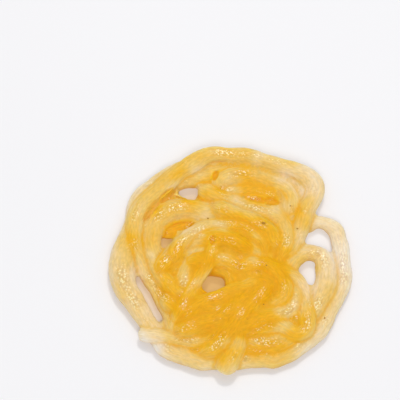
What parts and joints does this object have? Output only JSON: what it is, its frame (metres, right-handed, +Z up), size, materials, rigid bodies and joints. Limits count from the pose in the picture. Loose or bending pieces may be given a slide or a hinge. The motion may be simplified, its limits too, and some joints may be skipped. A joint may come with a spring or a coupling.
{
  "type": "meshbak",
  "caption": "Round lattice of fried batter strands, piped in overlapping rings and loops and soaked in syrup, eaten as a sweet.",
  "frame": {"origin": "middle of the outline of the flat underside, on the surface that the round lies on", "axes": "+Z up from the underside to the piped face; the picture's viewer stands on the -Y side and looks down, with +X to the right"},
  "size_m": [0.118, 0.1168, 0.013],
  "materials": {
    "fried_dough": "pale golden fried batter, translucent and glossy with syrup"
  },
  "bodies": {
    "root": {"meshbak": "fried_dough"}
  },
  "joints": []
}
